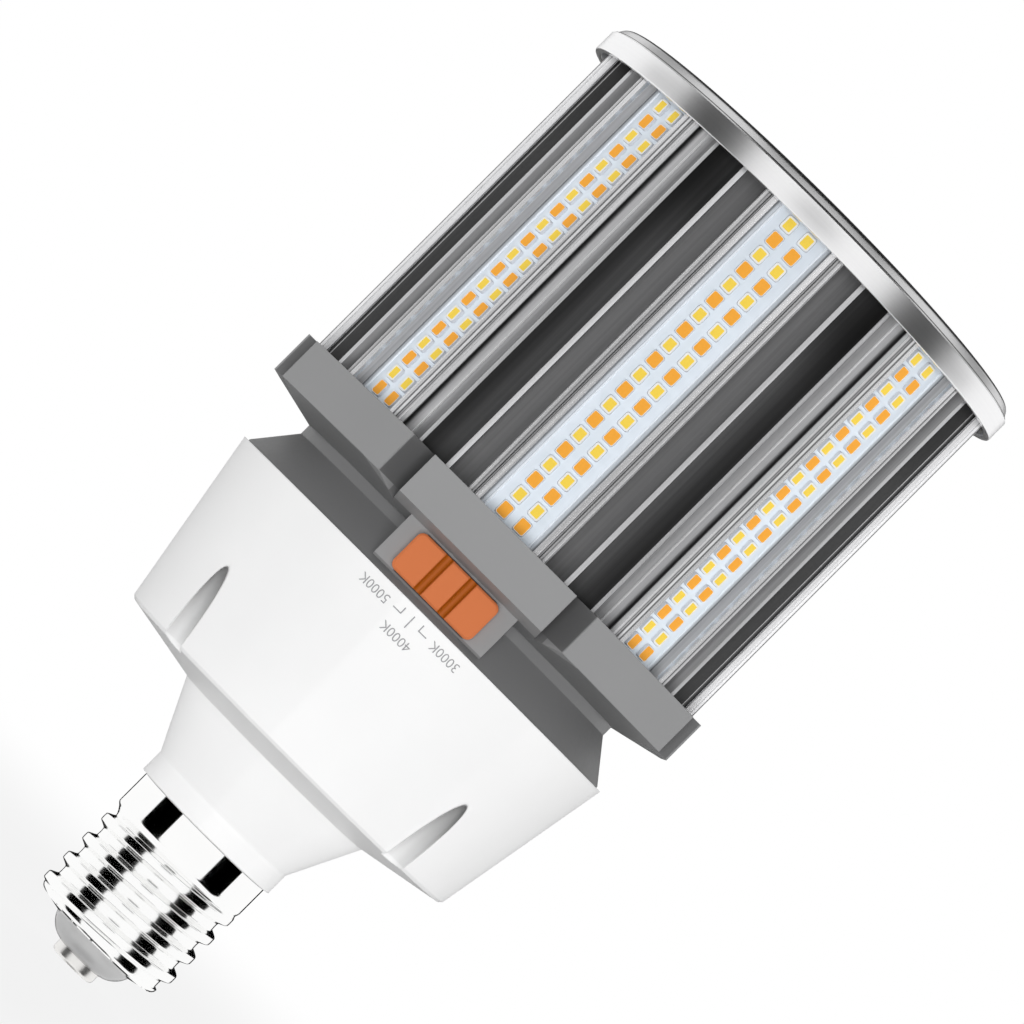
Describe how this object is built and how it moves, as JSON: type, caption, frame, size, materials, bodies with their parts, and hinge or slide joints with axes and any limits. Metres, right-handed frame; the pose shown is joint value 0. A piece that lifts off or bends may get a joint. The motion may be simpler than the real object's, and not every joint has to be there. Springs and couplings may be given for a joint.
{
  "type": "mogul base led bulb",
  "caption": "LED lamp with a mogul screw base, a white conical driver housing, a grey collar with a slide switch for light colour, and a finned body of LED boards under a round cap.",
  "frame": {"origin": "tip of the centre contact, on the lamp's axis", "axes": "+Z along the lamp's axis from the screw base to the cap; the colour switch faces -Y"},
  "size_m": [0.1314, 0.1314, 0.2494],
  "materials": {
    "plated_shell": "bright nickel plate",
    "insulator_grey": "moulded, matt",
    "contact_metal": "pressed metal",
    "housing_white": "moulded, fine satin",
    "collar_grey": "moulded, fine satin",
    "knob_orange": "moulded, satin",
    "switch_can": "tinned sheet",
    "driver_laminate": "solder mask",
    "screw_steel": "zinc plate",
    "sink_aluminium": "extruded, satin",
    "cap_polished": "polished",
    "wound_core": "ferrite and tape",
    "capacitor_sleeve": "shrink sleeve",
    "moulded_black": "moulded",
    "board_white": "white solder mask",
    "warm_phosphor": "silicone over phosphor",
    "cool_phosphor": "silicone over phosphor"
  },
  "bodies": {
    "lamp": {"screw_shell": "plated_shell", "base_insulator": "insulator_grey", "centre_contact": "contact_metal", "driver_housing": "housing_white", "mounting_collar": "collar_grey", "switch_body": "switch_can", "switch_board": "driver_laminate", "switch_screws": "screw_steel", "heat_sink": "sink_aluminium", "top_cap": "cap_polished", "cap_screws": "screw_steel", "collar_screws": "screw_steel", "housing_screws": "screw_steel", "driver_board": "driver_laminate", "transformer": "wound_core", "choke_coil": "wound_core", "bulk_capacitors": "capacitor_sleeve", "rectifier": "moulded_black", "led_board_1": "board_white", "led_board_2": "board_white", "led_board_3": "board_white", "led_board_4": "board_white", "led_board_5": "board_white", "led_board_6": "board_white", "led_board_7": "board_white", "led_board_8": "board_white", "warm_leds_1": "warm_phosphor", "warm_leds_2": "warm_phosphor", "warm_leds_3": "warm_phosphor", "warm_leds_4": "warm_phosphor", "warm_leds_5": "warm_phosphor", "warm_leds_6": "warm_phosphor", "warm_leds_7": "warm_phosphor", "warm_leds_8": "warm_phosphor", "cool_leds_1": "cool_phosphor", "cool_leds_2": "cool_phosphor", "cool_leds_3": "cool_phosphor", "cool_leds_4": "cool_phosphor", "cool_leds_5": "cool_phosphor", "cool_leds_6": "cool_phosphor", "cool_leds_7": "cool_phosphor", "cool_leds_8": "cool_phosphor"},
    "knob": {"switch_knob": "knob_orange"}
  },
  "joints": [
    {"name": "colour_slide", "type": "slide", "parent": "lamp", "child": "knob", "axis": [1, 0, 0], "range_m": [-0.0029, 0.0029]}
  ]
}
